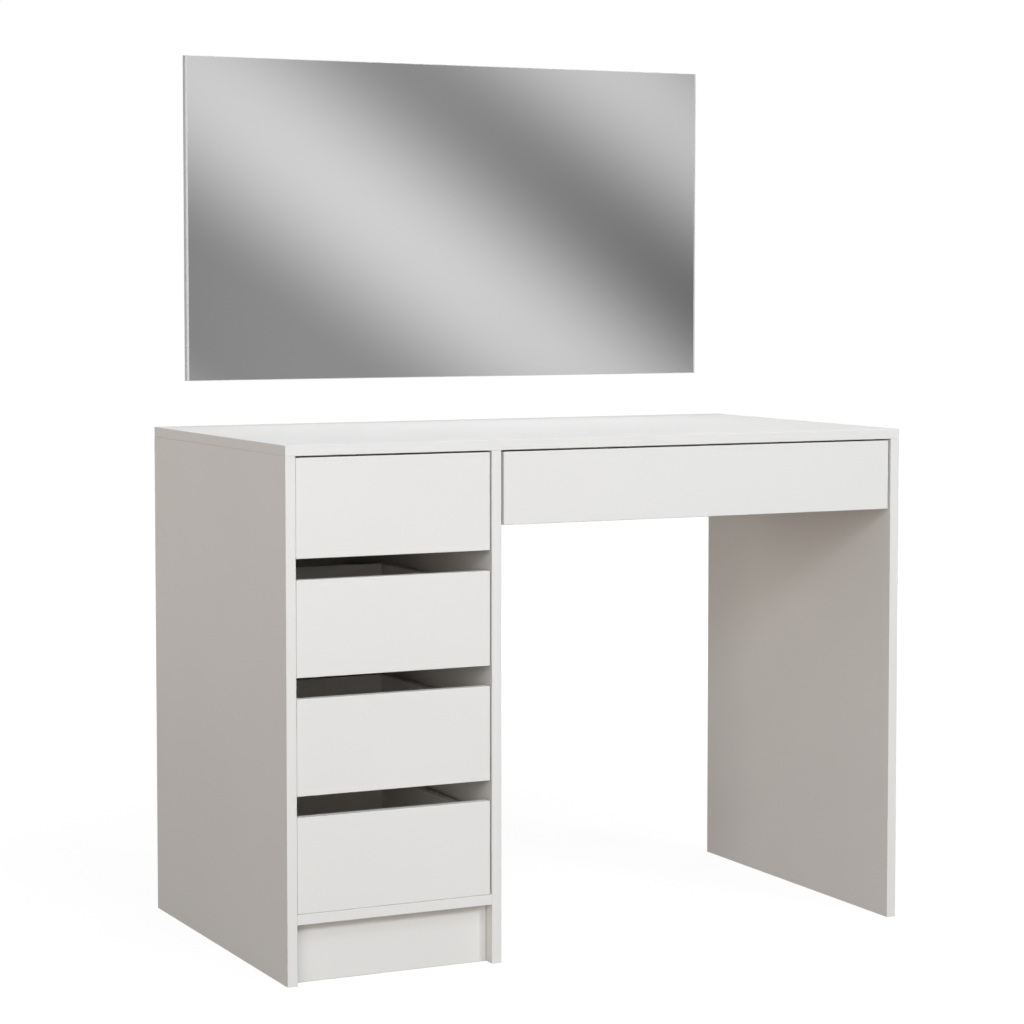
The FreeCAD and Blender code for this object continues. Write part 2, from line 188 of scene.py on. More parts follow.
# Hardboard: pressed wood fibre, lacquered white on the side that is seen;
# the other side stays brown and carries the print of the wire screen it was pressed on.
hardboard = {
    "lacquer": ("#E6E3DE", "#ECE9E4"),
    "fibre": ("#7A5A3A", "#A07C55"),
    "mottle": 14.0,            # mm
    "screen": 2.4,             # mm; the real wires are about 1.2 mm apart, drawn coarser so that they show
    "screenDepth": 0.25,       # mm
    "screenStrength": 0.5,
    "roughness": (0.5, 0.85),  # of the lacquer, of the bare fibre
    "specular": 0.3,
}


def hardboardSheet():
    material, tree, place = newMaterial("lacqueredHardboard")
    mottle = addNode(tree, "ShaderNodeTexNoise", inputs={
        "Vector": place, "Scale": perMetre(hardboard["mottle"]), "Detail": 5.0})
    lacquer, fibre = [
        addNode(tree, "ShaderNodeMix", {"data_type": "RGBA"}, {
            0: mottle.outputs["Fac"], 6: hexColour(dark), 7: hexColour(light)})
        for dark, light in (hardboard["lacquer"], hardboard["fibre"])]
    wires = math.pi / 10 * perMetre(hardboard["screen"])  # a wave texture turns 20 radians per unit
    alongX, alongY, alongZ = [
        addNode(tree, "ShaderNodeTexWave", {"bands_direction": axis}, {"Vector": place, "Scale": wires})
        for axis in ("X", "Y", "Z")]
    crossed = addNode(tree, "ShaderNodeMath", {"operation": "ADD"}, {
        0: alongX.outputs["Fac"], 1: alongY.outputs["Fac"]})
    screen = addNode(tree, "ShaderNodeMath", {"operation": "ADD"}, {
        0: crossed.outputs[0], 1: alongZ.outputs["Fac"]})
    towards = addNode(tree, "ShaderNodeSeparateXYZ", inputs={
        "Vector": addNode(tree, "ShaderNodeNewGeometry").outputs["True Normal"]})
    down = addNode(tree, "ShaderNodeMath", {"operation": "MULTIPLY"}, {0: towards.outputs["Z"], 1: -1.0})
    downOrBack = addNode(tree, "ShaderNodeMath", {"operation": "MAXIMUM"}, {
        0: towards.outputs["Y"], 1: down.outputs[0]})
    bare = addNode(tree, "ShaderNodeMath", {"operation": "GREATER_THAN"}, {
        0: downOrBack.outputs[0], 1: facing})
    tone = addNode(tree, "ShaderNodeMix", {"data_type": "RGBA"}, {
        0: bare.outputs[0], 6: lacquer.outputs[2], 7: fibre.outputs[2]})
    rough = addNode(tree, "ShaderNodeMapRange", inputs={
        "Value": bare.outputs[0],
        "To Min": hardboard["roughness"][0], "To Max": hardboard["roughness"][1]})
    height = addNode(tree, "ShaderNodeMath", {"operation": "MULTIPLY"}, {
        0: screen.outputs[0], 1: bare.outputs[0]})
    bump = addNode(tree, "ShaderNodeBump", inputs={
        "Strength": hardboard["screenStrength"], "Distance": hardboard["screenDepth"] * mm,
        "Height": height.outputs[0]})
    shader = addNode(tree, "ShaderNodeBsdfPrincipled", inputs={
        "Base Color": tone.outputs[2], "Specular IOR Level": hardboard["specular"],
        "Roughness": rough.outputs["Result"], "Normal": bump.outputs["Normal"]})
    addNode(tree, "ShaderNodeOutputMaterial", inputs={"Surface": shader.outputs["BSDF"]})
    return material


# Finishes that are one colour with a fine surface: each is a real finish,
# and its note says what it gives the eye. Grain and depth in mm.
fineFinishes = {
    # white epoxy powder coat, baked: even colour, half gloss, orange peel
    "runner_enamel": {
        "name": "runnerPowderCoat", "tones": ("#E3E2DE", "#E9E8E4"), "grain": 2.0, "depth": 0.06,
        "roughness": (0.30, 0.42), "metallic": 0.0, "ior": 1.5},
    # natural nylon, moulded: milky, waxy half gloss
    "roller_nylon": {
        "name": "mouldedNylon", "tones": ("#E7E4DA", "#EFEDE6"), "grain": 6.0, "depth": 0.03,
        "roughness": (0.36, 0.50), "metallic": 0.0, "ior": 1.53},
    # zinc, die-cast and tumbled: dull silver grey with soft cloudy patches
    "cam_zinc": {
        "name": "tumbledZinc", "tones": ("#8B8D90", "#B0B1B3"), "grain": 1.5, "depth": 0.08,
        "roughness": (0.34, 0.56), "metallic": 1.0, "ior": 1.5},
    # steel, bright zinc plated: pale bluish silver, slightly streaked
    "bolt_steel": {
        "name": "zincPlatedSteel", "tones": ("#A3A9B0", "#C4C3BD"), "grain": 2.5, "depth": 0.03,
        "roughness": (0.24, 0.38), "metallic": 1.0, "ior": 1.5},
    # beech, turned: pinkish tan with short dark flecks
    "dowel_beech": {
        "name": "turnedBeech", "tones": ("#B48C62", "#D3B189"), "grain": 1.8, "depth": 0.10,
        "roughness": (0.55, 0.70), "metallic": 0.0, "ior": 1.45},
    # fibreboard, painted pale grey: matt, with the fine nap of the fibres
    "mirror_board": {
        "name": "paintedFibreboard", "tones": ("#D0D4D8", "#E6EAEE"), "grain": 4.0, "depth": 0.10,
        "roughness": (0.58, 0.72), "metallic": 0.0, "ior": 1.45},
}
fineGrainStrength = 0.4


def fineFinish(values):
    material, tree, place = newMaterial(values["name"])
    grain = addNode(tree, "ShaderNodeTexNoise", inputs={
        "Vector": place, "Scale": perMetre(values["grain"]), "Detail": 4.0})
    tone = addNode(tree, "ShaderNodeMix", {"data_type": "RGBA"}, {
        0: grain.outputs["Fac"], 6: hexColour(values["tones"][0]), 7: hexColour(values["tones"][1])})
    gloss = addNode(tree, "ShaderNodeMapRange", inputs={
        "Value": grain.outputs["Fac"], "To Min": values["roughness"][0], "To Max": values["roughness"][1]})
    bump = addNode(tree, "ShaderNodeBump", inputs={
        "Strength": fineGrainStrength, "Distance": values["depth"] * mm, "Height": grain.outputs["Fac"]})
    shader = addNode(tree, "ShaderNodeBsdfPrincipled", inputs={
        "Base Color": tone.outputs[2], "Metallic": values["metallic"], "IOR": values["ior"],
        "Roughness": gloss.outputs["Result"], "Normal": bump.outputs["Normal"]})
    addNode(tree, "ShaderNodeOutputMaterial", inputs={"Surface": shader.outputs["BSDF"]})
    return material


# Silvered float glass: a clear reflection, slightly grey; its ends carry a ground satin bevel,
# and the cut edges look dark because the eye looks into the glass.
mirrorGlass = {
    "silver": "#EBEBEB",
    "haze": (0.0, 0.025),     # roughness of a wiped surface
    "hazeRange": (0.4, 0.8),  # from clean to hazy places
    "hazeSize": 140.0,        # mm
    "bevel": "#CACAC8",
    "bevelRoughness": 0.45,
    "edge": "#A2A7A5",
    "edgeRoughness": 0.30,
    "faceNormal": -0.99,      # along Y: the front face looks further that way than this,
    "bevelNormal": -0.2,      # and a bevel further than this
}


def silveredGlass():
    material, tree, place = newMaterial("silveredGlass")
    towards = addNode(tree, "ShaderNodeSeparateXYZ", inputs={
        "Vector": addNode(tree, "ShaderNodeNewGeometry").outputs["True Normal"]})
    face = addNode(tree, "ShaderNodeMath", {"operation": "LESS_THAN"}, {
        0: towards.outputs["Y"], 1: mirrorGlass["faceNormal"]})
    sloped = addNode(tree, "ShaderNodeMath", {"operation": "LESS_THAN"}, {
        0: towards.outputs["Y"], 1: mirrorGlass["bevelNormal"]})
    haze = addNode(tree, "ShaderNodeTexNoise", inputs={
        "Vector": place, "Scale": perMetre(mirrorGlass["hazeSize"]), "Detail": 3.0})
    wiped = addNode(tree, "ShaderNodeMapRange", inputs={
        "Value": haze.outputs["Fac"],
        "From Min": mirrorGlass["hazeRange"][0], "From Max": mirrorGlass["hazeRange"][1],
        "To Min": mirrorGlass["haze"][0], "To Max": mirrorGlass["haze"][1]})
    rim = addNode(tree, "ShaderNodeMix", {"data_type": "RGBA"}, {
        0: sloped.outputs[0], 6: hexColour(mirrorGlass["edge"]), 7: hexColour(mirrorGlass["bevel"])})
    tone = addNode(tree, "ShaderNodeMix", {"data_type": "RGBA"}, {
        0: face.outputs[0], 6: rim.outputs[2], 7: hexColour(mirrorGlass["silver"])})
    rimRough = addNode(tree, "ShaderNodeMapRange", inputs={
        "Value": sloped.outputs[0],
        "To Min": mirrorGlass["edgeRoughness"], "To Max": mirrorGlass["bevelRoughness"]})
    rough = addNode(tree, "ShaderNodeMix", {"data_type": "FLOAT"}, {
        0: face.outputs[0], 2: rimRough.outputs["Result"], 3: wiped.outputs["Result"]})
    shader = addNode(tree, "ShaderNodeBsdfPrincipled", inputs={
        "Base Color": tone.outputs[2], "Metallic": face.outputs[0], "Roughness": rough.outputs[0]})
    addNode(tree, "ShaderNodeOutputMaterial", inputs={"Surface": shader.outputs["BSDF"]})
    return material


finishes = {
    "white_board": melamineBoard("whiteMelamineBoard", False),
    "drawer_board": foilBoard(),
    "hardboard": hardboardSheet(),
    "mirror_silver": silveredGlass(),
}
for slot, values in fineFinishes.items():
    finishes[slot] = fineFinish(values)
uprightFinish = melamineBoard("melamineUpright", True)
uprights = ("left_side_panel", "partition_panel", "right_side_panel")
for part in frame["record"]["subparts"]:
    finish = uprightFinish if part["node"] in uprights else finishes[part["material_slot"]]
    mesh = nodes[part["node"]].data
    mesh.materials.clear()
    mesh.materials.append(finish)

mergeGap = 0.002  # mm; points of a turned piece that are nearer than this become one


def clearSelection():
    bpy.ops.object.select_all(action="DESELECT")


def pickOnly(piece):
    clearSelection()
    piece.select_set(True)
    bpy.context.view_layer.objects.active = piece


def selectFaces(piece, wanted):  # in edit mode, by place or normal
    bpy.ops.object.mode_set(mode="OBJECT")
    for face in piece.data.polygons:
        face.select = wanted(face)
    for edge in piece.data.edges:
        edge.select = False
    for vertex in piece.data.vertices:
        vertex.select = False
    bpy.ops.object.mode_set(mode="EDIT")
    bpy.ops.mesh.select_mode(type="FACE")


def turned(name, profile, sides, bored=False):
    # Rings of (radius, height) in mm about +Z, each extruded and resized from the one before
    clearSelection()
    radius, height = profile[0]
    fill = "NOTHING" if bored else "NGON"
    bpy.ops.mesh.primitive_circle_add(vertices=sides, radius=radius * mm, fill_type=fill)
    piece = bpy.context.object
    piece.name = name
    bpy.ops.object.mode_set(mode="EDIT")
    bpy.ops.mesh.select_mode(type="VERT")
    bpy.ops.mesh.select_all(action="SELECT")
    bpy.ops.transform.translate(value=(0, 0, height * mm))
    for nextRadius, nextHeight in profile[1:]:
        rise = (nextHeight - height) * mm
        bpy.ops.mesh.extrude_region_move(TRANSFORM_OT_translate={"value": (0, 0, rise)})
        grow = nextRadius / radius
        bpy.ops.transform.resize(value=(grow, grow, 1), center_override=(0, 0, nextHeight * mm))
        radius, height = nextRadius, nextHeight
    bpy.ops.mesh.select_all(action="SELECT")
    bpy.ops.mesh.remove_doubles(threshold=mergeGap * mm)
    bpy.ops.mesh.normals_make_consistent(inside=False)
    bpy.ops.object.mode_set(mode="OBJECT")
    return piece


def crossCutter(width, span, depth, top, taper):
    # A post with four wings, narrowing to its point, for a cross recess; mm
    clearSelection()
    bpy.ops.mesh.primitive_cube_add(size=width * mm, location=(0, 0, 0))
    cutter = bpy.context.object
    bpy.ops.object.mode_set(mode="EDIT")
    bpy.ops.mesh.select_all(action="SELECT")
    bpy.ops.transform.resize(value=(1, 1, depth / width), center_override=(0, 0, 0))
    bpy.ops.transform.translate(value=(0, 0, (top - depth / 2) * mm))
    selectFaces(cutter, lambda face: abs(face.normal.z) < facing)
    bpy.ops.mesh.extrude_faces_move(TRANSFORM_OT_shrink_fatten={"value": (span - width) / 2 * mm})
    selectFaces(cutter, lambda face: face.normal.z < -facing)
    bpy.ops.transform.resize(value=(taper, taper, 1), center_override=(0, 0, (top - depth) * mm))
    bpy.ops.object.mode_set(mode="OBJECT")
    return cutter


def blockAt(place, size):
    clearSelection()
    bpy.ops.mesh.primitive_cube_add(size=1.0, location=place)
    block = bpy.context.object
    block.scale = size
    bpy.ops.object.transform_apply(location=True, rotation=True, scale=True)
    return block


def cutAway(piece, cutter):
    pickOnly(piece)
    cut = piece.modifiers.new("cut", "BOOLEAN")
    cut.operation = "DIFFERENCE"
    cut.object = cutter
    bpy.ops.object.modifier_apply(modifier=cut.name)
    bpy.data.objects.remove(cutter)


def smoothBelow(piece, degrees):  # edges that turn by more stay sharp
    pickOnly(piece)
    bpy.ops.object.shade_smooth_by_angle(angle=math.radians(degrees))


def joined(pieces, name):  # into the first one, with its place in its mesh
    clearSelection()
    for piece in pieces:
        piece.select_set(True)
    whole = pieces[0]
    bpy.context.view_layer.objects.active = whole
    bpy.ops.object.transform_apply(location=True, rotation=True, scale=True)
    bpy.ops.object.join()
    whole.name = name
    whole.data.name = name
    return whole


def copiesAt(source, places, name):
    # Copies with their +Z turned to each direction, each with its own mesh, joined into one piece
    copies = []
    for place, direction in places:
        copy = source.copy()
        copy.data = source.data.copy()
        bpy.context.collection.objects.link(copy)
        copy.location = place
        copy.rotation_euler = Vector(direction).to_track_quat("Z", "Y").to_euler()
        copies.append(copy)
    return joined(copies, name)


def fitted(piece, slot, body):  # finish and body of a new piece
    piece.data.materials.clear()
    piece.data.materials.append(finishes[slot])
    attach(piece, body)
    return piece


def camelName(node):  # drawer_1 becomes drawer1
    first, *rest = node.split("_")
    return first + "".join(word.capitalize() for word in rest)


# The pieces' own sizes are in mm, and their profiles are rings of (radius, height).
# Cam locks: round zinc cams with a raised rim and a cross recess, in the inner faces of the boards
camLock = {
    "profile": [(7.1, -12.4), (7.1, 0.02), (7.8, 0.02), (7.8, 0.14), (7.55, 0.22), (6.7, 0.22), (6.4, -0.4)],
    "recess": {"width": 1.6, "span": 7.5, "depth": 2.6, "top": 0.2, "taper": 0.5},
    "sides": 36,
    "smooth": 30.0,         # degrees
    "uprightDrop": 49.0,    # tabletop's upper face down to a cam in an upright
    "inset": 60.0,          # in from the front and back edges
    "reach": 34.0,          # from the joint to the cam
    "railDrop": 45.0,       # rail's upper edge down to its cams
}
camSource = turned("camLock", camLock["profile"], camLock["sides"])
cutAway(camSource, crossCutter(**camLock["recess"]))
smoothBelow(camSource, camLock["smooth"])
leftLow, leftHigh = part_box("left_side_panel")
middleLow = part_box("partition_panel")[0]
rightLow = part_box("right_side_panel")[0]
bottomLow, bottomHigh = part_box("pedestal_bottom_panel")
railLow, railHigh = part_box("kneehole_rear_rail")
backLow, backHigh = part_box("pedestal_back_panel")
camInset = camLock["inset"] * mm
camReach = camLock["reach"] * mm
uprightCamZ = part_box("tabletop")[1].z - camLock["uprightDrop"] * mm
railCamZ = railHigh.z - camLock["railDrop"] * mm
camPlaces = []
for faceX, direction in ((leftHigh.x, 1), (middleLow.x, -1), (rightLow.x, -1)):
    for y in (leftLow.y + camInset, leftHigh.y - camInset):
        camPlaces.append(((faceX, y, uprightCamZ), (direction, 0, 0)))
for x in (bottomLow.x + camReach, bottomHigh.x - camReach):
    camPlaces.append(((x, backLow.y - camInset, bottomLow.z), (0, 0, -1)))
for x in (railLow.x + camReach, railHigh.x - camReach):
    camPlaces.append(((x, railLow.y, railCamZ), (0, -1, 0)))
camLocks = fitted(copiesAt(camSource, camPlaces, "camLockDiscs"), "cam_zinc", "table")
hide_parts("cam_locks")
bpy.data.objects.remove(camSource)

# Rollers: moulded nylon wheels with a hub, a thin web with three holes and a rounded tread
roller = {
    "width": 6.0,
    "profile": [(2.58, -3.0), (4.1, -3.0), (4.3, -2.7), (4.3, -1.1), (6.5, -1.1), (6.8, -2.7), (7.9, -2.7),
                (8.35, -2.45), (8.5, -2.1), (8.5, 2.1), (8.35, 2.45), (7.9, 2.7), (6.8, 2.7), (6.5, 1.1),
                (4.3, 1.1), (4.3, 2.7), (4.1, 3.0), (2.58, 3.0), (2.58, -3.0)],
    "sides": 36,
    "smooth": 35.0,         # degrees
    "webHoles": 3,
    "webHoleRadius": 0.85,
    "webHoleRing": 5.4,
    "webHoleSides": 12,
    "webHoleTurn": 5.0,     # degrees; puts each hole in the middle of a facet
}
rollerSource = turned("runnerRoller", roller["profile"], roller["sides"], bored=True)
for k in range(roller["webHoles"]):
    angle = 2 * math.pi * k / roller["webHoles"] + math.radians(roller["webHoleTurn"])
    ring = roller["webHoleRing"] * mm
    clearSelection()
    bpy.ops.mesh.primitive_cylinder_add(
        vertices=roller["webHoleSides"], radius=roller["webHoleRadius"] * mm, depth=roller["width"] * mm,
        location=(ring * math.cos(angle), ring * math.sin(angle), 0))
    cutAway(rollerSource, bpy.context.object)
smoothBelow(rollerSource, roller["smooth"])

# Riveted ends of the roller axles
rivet = {
    "profile": [(2.4, -0.6), (2.4, 0.03), (3.9, 0.03), (4.0, 0.25), (3.5, 0.65), (2.4, 0.92), (1.1, 1.0)],
    "sides": 24,
    "smooth": 40.0,         # degrees
}
rivetSource = turned("axleRivet", rivet["profile"], rivet["sides"])
smoothBelow(rivetSource, rivet["smooth"])

# Countersunk screws with a cross recess, through the webs of the runners
runnerScrew = {
    "profile": [(1.6, -6.0), (1.6, -2.1), (3.5, -0.05), (3.6, 0.06), (3.3, 0.16), (2.2, 0.25)],
    "recess": {"width": 0.8, "span": 4.2, "depth": 1.7, "top": 0.4, "taper": 0.5},
    "sides": 24,
    "smooth": 30.0,                        # degrees
    "cabinetSpots": (8.0, 107.0, 262.0),   # behind the front end of a cabinet runner
    "drawerSpots": (60.0, 200.0),          # behind the front end of a drawer runner
    "cabinetWeb": 1.2,                     # from the runner's outer face to its web's face
    "drawerWeb": 8.6,
}
screwSource = turned("runnerScrew", runnerScrew["profile"], runnerScrew["sides"])
cutAway(screwSource, crossCutter(**runnerScrew["recess"]))
smoothBelow(screwSource, runnerScrew["smooth"])


def bothSides(low, high, depth, y, z, sign):
    # A place on each of a left and right pair, depth mm in from their outer faces;
    # with sign 1 the two look towards each other, with -1 away
    return [((low.x + depth * mm, y, z), (sign, 0, 0)), ((high.x - depth * mm, y, z), (-sign, 0, 0))]


cabinetScrewPlaces = []
frontRivetPlaces = []
for name in drawerNames:
    drawer = camelName(name)
    for end in ("front", "rear"):
        node = name + "_" + end + "_rollers"
        low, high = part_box(node)
        axle = (low + high) / 2
        pair = bothSides(low, high, roller["width"] / 2, axle.y, axle.z, 1)
        wheels = copiesAt(rollerSource, pair, drawer + end.capitalize() + "Rollers")
        fitted(wheels, "roller_nylon", node)
        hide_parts(node)
        if end == "front":
            frontRivetPlaces += bothSides(low, high, roller["width"], axle.y, axle.z, 1)
        else:
            rearRivetPlaces = bothSides(low, high, 0, axle.y, axle.z, -1)
            fitted(copiesAt(rivetSource, rearRivetPlaces, drawer + "RearRivets"), "bolt_steel", name)
            screwZ = axle.z  # the screws are level with this axle
    low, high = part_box(name + "_cabinet_runners")
    for back in runnerScrew["cabinetSpots"]:
        cabinetScrewPlaces += bothSides(low, high, runnerScrew["cabinetWeb"], low.y + back * mm, screwZ, 1)
    low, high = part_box(name + "_runners")
    drawerScrewPlaces = []
    for back in runnerScrew["drawerSpots"]:
        drawerScrewPlaces += bothSides(low, high, runnerScrew["drawerWeb"], low.y + back * mm, screwZ, -1)
    fitted(copiesAt(screwSource, drawerScrewPlaces, drawer + "RunnerScrews"), "bolt_steel", name)
fitted(copiesAt(screwSource, cabinetScrewPlaces, "cabinetRunnerScrews"), "bolt_steel", "table")
fitted(copiesAt(rivetSource, frontRivetPlaces, "frontAxleRivets"), "bolt_steel", "table")
bpy.data.objects.remove(rollerSource)
bpy.data.objects.remove(rivetSource)

# Panel pins that hold the back's lower edge to the bottom board
panelPin = {
    "profile": [(0.7, -12.0), (0.7, 0.02), (1.5, 0.02), (1.6, 0.2), (1.2, 0.4)],
    "sides": 12,
    "smooth": 30.0,         # degrees
    "count": 5,
    "endInset": 25.0,
}
pinSource = turned("panelPin", panelPin["profile"], panelPin["sides"])
smoothBelow(pinSource, panelPin["smooth"])
pinZ = (bottomLow.z + bottomHigh.z) / 2
pinStart = bottomLow.x + panelPin["endInset"] * mm
pinEnd = bottomHigh.x - panelPin["endInset"] * mm
pinStep = (pinEnd - pinStart) / (panelPin["count"] - 1)
pinPlaces = [((pinStart + k * pinStep, backHigh.y, pinZ), (0, 1, 0)) for k in range(panelPin["count"])]
fitted(copiesAt(pinSource, pinPlaces, "backPanelPins"), "bolt_steel", "table")
bpy.data.objects.remove(pinSource)

# Keyhole hangers in the mirror's back: pressed plates with round corners, each held by two screws
hanger = {
    "width": 22.0,
    "thick": 1.2,
    "corner": 4.0,
    "cornerSegments": 5,
    "entryRadius": 4.5,
    "slotRadius": 2.3,
    "keyholeLength": 14.0,
    "holeSides": 32,
    "cutDepth": 10.0,       # well through the plate
    "screwSpread": 34.0,
    "smooth": 30.0,         # degrees
}
hangerLow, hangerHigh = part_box("mirror_hangers")


def hangerPlate(x):
    thick = hanger["thick"] * mm
    cutDepth = hanger["cutDepth"] * mm
    keyhole = hanger["keyholeLength"] * mm
    middleY = hangerLow.y + thick / 2
    middleZ = (hangerLow.z + hangerHigh.z) / 2
    plate = blockAt((x, middleY, middleZ), (hanger["width"] * mm, thick, hangerHigh.z - hangerLow.z))
    corners = plate.modifiers.new("corners", "BEVEL")
    corners.width = hanger["corner"] * mm
    corners.segments = hanger["cornerSegments"]
    corners.limit_method = "WEIGHT"
    weights = plate.data.attributes.new("bevel_weight_edge", "FLOAT", "EDGE")
    for edge in plate.data.edges:  # only the edges through the plate are rounded
        start, end = [plate.data.vertices[i].co for i in edge.vertices]
        weights.data[edge.index].value = 1.0 if abs(start.y - end.y) > thick / 2 else 0.0
    bpy.ops.object.modifier_apply(modifier=corners.name)
    entry = (hanger["entryRadius"], middleZ - keyhole / 2)
    slotEnd = (hanger["slotRadius"], middleZ + keyhole / 2)
    for radius, z in (entry, slotEnd):
        clearSelection()
        bpy.ops.mesh.primitive_cylinder_add(
            vertices=hanger["holeSides"], radius=radius * mm, depth=cutDepth,
            rotation=(math.radians(90), 0, 0), location=(x, middleY, z))
        cutAway(plate, bpy.context.object)
    cutAway(plate, blockAt((x, middleY, middleZ), (2 * hanger["slotRadius"] * mm, cutDepth, keyhole)))
    smoothBelow(plate, hanger["smooth"])
    screwRise = hanger["screwSpread"] * mm / 2
    screwPlaces = [((x, hangerLow.y + thick, middleZ + rise), (0, 1, 0)) for rise in (screwRise, -screwRise)]
    return joined([plate, copiesAt(screwSource, screwPlaces, "hangerScrews")], "hangerPlate")


plateHalf = hanger["width"] * mm / 2
hangerPlates = joined(
    [hangerPlate(x) for x in (hangerLow.x + plateHalf, hangerHigh.x - plateHalf)], "mirrorHangerPlates")
fitted(hangerPlates, "bolt_steel", "table")
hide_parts("mirror_hangers")
bpy.data.objects.remove(screwSource)
print("stage 3: small fittings in place")

# Camera of the photograph: a long lens, tilted down a little, with a small shift of the frame
view = {
    "place": (-1.8971, -3.8391, 0.9740),
    "yaw": -25.9234,        # degrees
    "tilt": -3.4612,        # degrees
    "lens": 98.475,         # mm, on a sensor of this width
    "sensor": 36.0,
    "shiftX": 0.00577,
    "shiftY": -0.06,
}
bpy.ops.object.camera_add(
    location=view["place"], rotation=(math.radians(90 + view["tilt"]), 0, math.radians(view["yaw"])))
camera = bpy.context.object
camera.name = "photoCamera"
camera.data.sensor_width = view["sensor"]
camera.data.lens = view["lens"]
camera.data.shift_x = view["shiftX"]
camera.data.shift_y = view["shiftY"]
bpy.context.scene.camera = camera

# Studio: pale floor, white world for the eye, soft light for the object
studio = {
    "backdrop": "#FFFFFF",     # what the eye and reflections see
    "ambient": "#FFFFFF",      # what lights the object from all round
    "ambientStrength": 0.16,
    "floorTone": "#6E655D",    # what the floor throws back at the object
    "floorGlow": (0.92, 1.0),  # what the eye sees, under the object and far from it
    "floorFade": (1.0, 3.0),   # metres from the origin
    "floorShade": "#616161",   # takes the object's shadow
    "floorSize": 40.0,
}


def seenRays(tree):  # 1 where the eye, a reflection or a see-through ray looks
    path = addNode(tree, "ShaderNodeLightPath")
    direct = addNode(tree, "ShaderNodeMath", {"operation": "MAXIMUM"}, {
        0: path.outputs["Is Camera Ray"], 1: path.outputs["Is Glossy Ray"]})
    through = addNode(tree, "ShaderNodeMath", {"operation": "MAXIMUM"}, {
        0: direct.outputs[0], 1: path.outputs["Is Transmission Ray"]})
    return through.outputs[0]


def whiteWorld():
    world = bpy.data.worlds.new("whiteStudio")
    world.use_nodes = True
    tree = world.node_tree
    tree.nodes.clear()
    soft = addNode(tree, "ShaderNodeBackground", inputs={
        "Color": hexColour(studio["ambient"]), "Strength": studio["ambientStrength"]})
    white = addNode(tree, "ShaderNodeBackground", inputs={
        "Color": hexColour(studio["backdrop"]), "Strength": 1.0})
    shown = addNode(tree, "ShaderNodeMixShader", inputs={
        0: seenRays(tree), 1: soft.outputs[0], 2: white.outputs[0]})
    addNode(tree, "ShaderNodeOutputWorld", inputs={"Surface": shown.outputs[0]})
    bpy.context.scene.world = world


def paleFloor():
    clearSelection()
    bpy.ops.mesh.primitive_plane_add(size=studio["floorSize"])
    floor = bpy.context.object
    floor.name = "studioFloor"
    material, tree, place = newMaterial("paleStudioFloor")
    distance = addNode(tree, "ShaderNodeVectorMath", {"operation": "LENGTH"}, {0: place})
    glowLevel = addNode(tree, "ShaderNodeMapRange", inputs={
        "Value": distance.outputs["Value"],
        "From Min": studio["floorFade"][0], "From Max": studio["floorFade"][1],
        "To Min": studio["floorGlow"][0], "To Max": studio["floorGlow"][1]})
    glow = addNode(tree, "ShaderNodeEmission", inputs={
        "Color": hexColour(studio["backdrop"]), "Strength": glowLevel.outputs["Result"]})
    shade = addNode(tree, "ShaderNodeBsdfDiffuse", inputs={"Color": hexColour(studio["floorShade"])})
    seen = addNode(tree, "ShaderNodeAddShader", inputs={0: glow.outputs[0], 1: shade.outputs[0]})
    body = addNode(tree, "ShaderNodeBsdfDiffuse", inputs={"Color": hexColour(studio["floorTone"])})
    both = addNode(tree, "ShaderNodeMixShader", inputs={
        0: seenRays(tree), 1: body.outputs[0], 2: seen.outputs[0]})
    addNode(tree, "ShaderNodeOutputMaterial", inputs={"Surface": both.outputs[0]})
    floor.data.materials.append(material)


whiteWorld()
paleFloor()

# Softboxes, all turned to the same point; watts and metres
softboxAim = (0, 0, 0.6)
softboxes = {
    "warmSideSoftbox": {"place": (-4.5, -4.6, 1.3), "size": 3.0, "power": 133.0, "colour": "#FBF3EE"},
    "rightKeySoftbox": {"place": (2.5, -5.2, 3.3), "size": 1.2, "power": 134.0, "colour": "#F5FAFF"},
    "leftKeySoftbox": {"place": (-2.4, -5.2, 3.3), "size": 1.2, "power": 62.0, "colour": "#EFF7FF"},
    "steepSoftbox": {"place": (0.0, -3.6, 4.6), "size": 1.5, "power": 60.0, "colour": "#EDF6FF"},
    "lowFrontSoftbox": {"place": (0.0, -6.5, 1.0), "size": 3.0, "power": 48.0, "colour": "#FFFCF5"},
    "overheadSoftbox": {"place": (-0.3, -0.3, 4.5), "size": 3.0, "power": 40.0, "colour": "#FFFAF8"},
    "backSoftbox": {"place": (-1.2, 2.6, 0.9), "size": 2.0, "power": 13.0, "colour": "#FFEEE1"},
    "rearRightSoftbox": {"place": (3.8, 2.6, 0.9), "size": 2.5, "power": 105.0, "colour": "#FFFBF5",
                         "mirrored": False},  # no highlight on the satin boards
}
for name, box in softboxes.items():
    bpy.ops.object.light_add(type="AREA", location=box["place"])
    lamp = bpy.context.object
    lamp.name = name
    lamp.data.size = box["size"]
    lamp.data.energy = box["power"]
    lamp.data.color = hexColour(box["colour"])[:3]
    lamp.visible_glossy = box.get("mirrored", True)
    direction = Vector(softboxAim) - Vector(box["place"])
    lamp.rotation_euler = direction.to_track_quat("-Z", "Y").to_euler()

# Wall of soft slanting light bands that the mirror shows; only reflections see it
bandWall = {
    "y": -3.0,
    "width": 16.0,
    "height": 5.0,
    "light": "#FFFFFF",
    "slant": 55.14,          # degrees
    "period": 0.8085,        # metres on the wall
    "brightBand": 1.6752,    # distance of a bright band from the origin, across the bands
    "pause": 0.1862,         # metres that stay dark beside one band
    "level": 0.4427,         # mean strength
    "swing": 0.2186,         # of the bands, up and down from the level
    "fadePeriod": 3.6,       # slower change from left to right, in metres
    "fadeCentre": 1.2054,    # where that is brightest
    "fade": 0.0892,
}


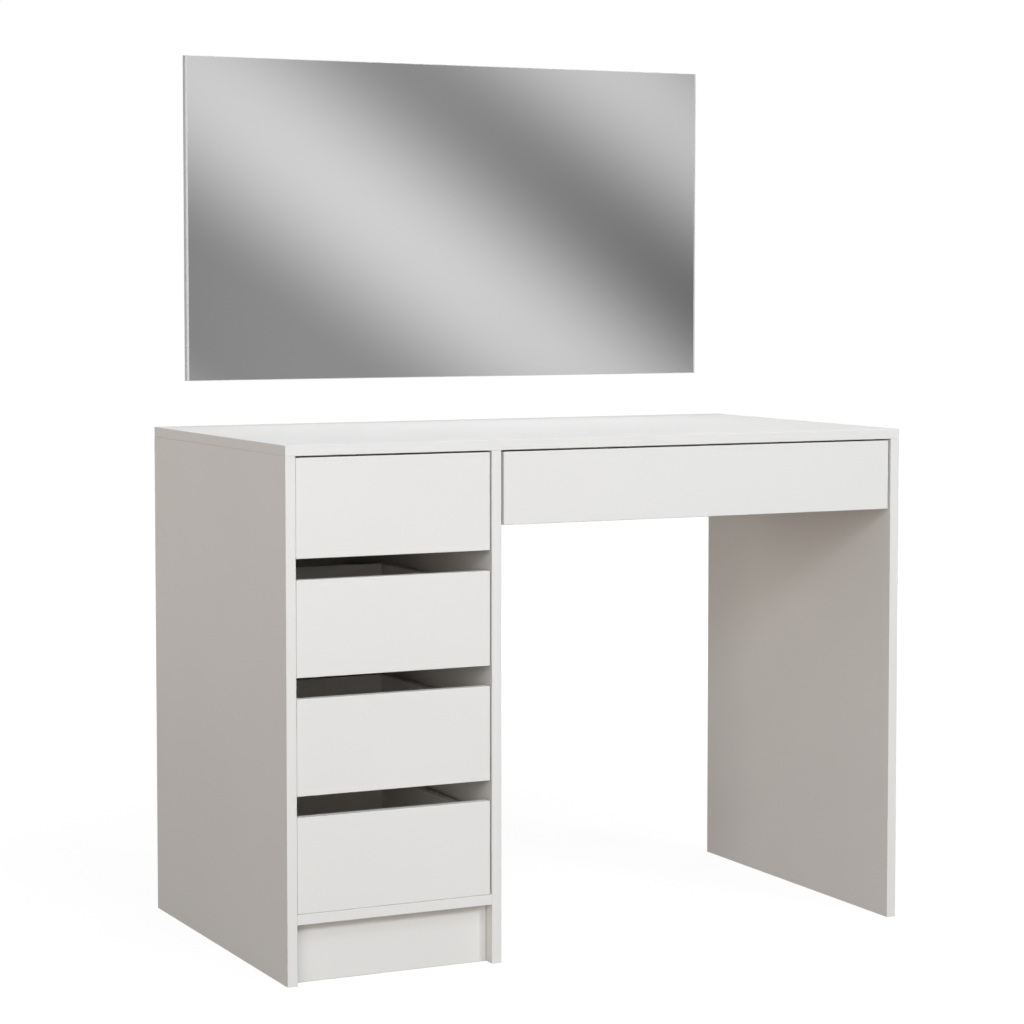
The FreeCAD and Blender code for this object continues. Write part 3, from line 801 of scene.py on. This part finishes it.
def addBands(tree, place, direction, period, centre, pause, swing, level):
    # Level plus swing times a cosine across the bands, which stays dark for a pause after the first trough
    turn = 2 * math.pi / period
    across = addNode(tree, "ShaderNodeVectorMath", {"operation": "DOT_PRODUCT"}, {0: place, 1: direction})
    phase = addNode(tree, "ShaderNodeMath", {"operation": "MULTIPLY_ADD"}, {
        0: across.outputs["Value"], 1: turn, 2: -turn * centre})
    upper = addNode(tree, "ShaderNodeMath", {"operation": "MAXIMUM"}, {0: phase.outputs[0], 1: -math.pi})
    later = addNode(tree, "ShaderNodeMath", {"operation": "ADD"}, {
        0: phase.outputs[0], 1: math.pi + turn * pause})
    lower = addNode(tree, "ShaderNodeMath", {"operation": "MINIMUM"}, {0: later.outputs[0], 1: 0.0})
    held = addNode(tree, "ShaderNodeMath", {"operation": "ADD"}, {0: upper.outputs[0], 1: lower.outputs[0]})
    wave = addNode(tree, "ShaderNodeMath", {"operation": "COSINE"}, {0: held.outputs[0]})
    return addNode(tree, "ShaderNodeMath", {"operation": "MULTIPLY_ADD"}, {
        0: wave.outputs[0], 1: swing, 2: level}).outputs[0]


def bandedWall():
    clearSelection()
    bpy.ops.mesh.primitive_plane_add(size=1.0)
    wall = bpy.context.object
    wall.name = "bandedWall"
    wall.scale = (bandWall["width"], bandWall["height"], 1)
    wall.rotation_euler = (math.radians(-90), 0, 0)
    wall.location = (0, bandWall["y"], bandWall["height"] / 2)
    bpy.ops.object.transform_apply(location=True, rotation=True, scale=True)
    material, tree, place = newMaterial("slantingBands")
    fade = addBands(
        tree, place, (1, 0, 0), bandWall["fadePeriod"], bandWall["fadeCentre"], 0.0,
        bandWall["fade"], bandWall["level"])
    slant = math.radians(bandWall["slant"])
    bands = addBands(
        tree, place, (math.cos(slant), 0, math.sin(slant)), bandWall["period"], bandWall["brightBand"],
        bandWall["pause"], bandWall["swing"], fade)
    glow = addNode(tree, "ShaderNodeEmission", inputs={
        "Color": hexColour(bandWall["light"]), "Strength": bands})
    addNode(tree, "ShaderNodeOutputMaterial", inputs={"Surface": glow.outputs[0]})
    wall.data.materials.append(material)
    wall.visible_camera = False
    wall.visible_diffuse = False
    wall.visible_transmission = False
    wall.visible_shadow = False


bandedWall()
bpy.context.scene.view_settings.view_transform = "Standard"
print("stage 4: studio and camera set")
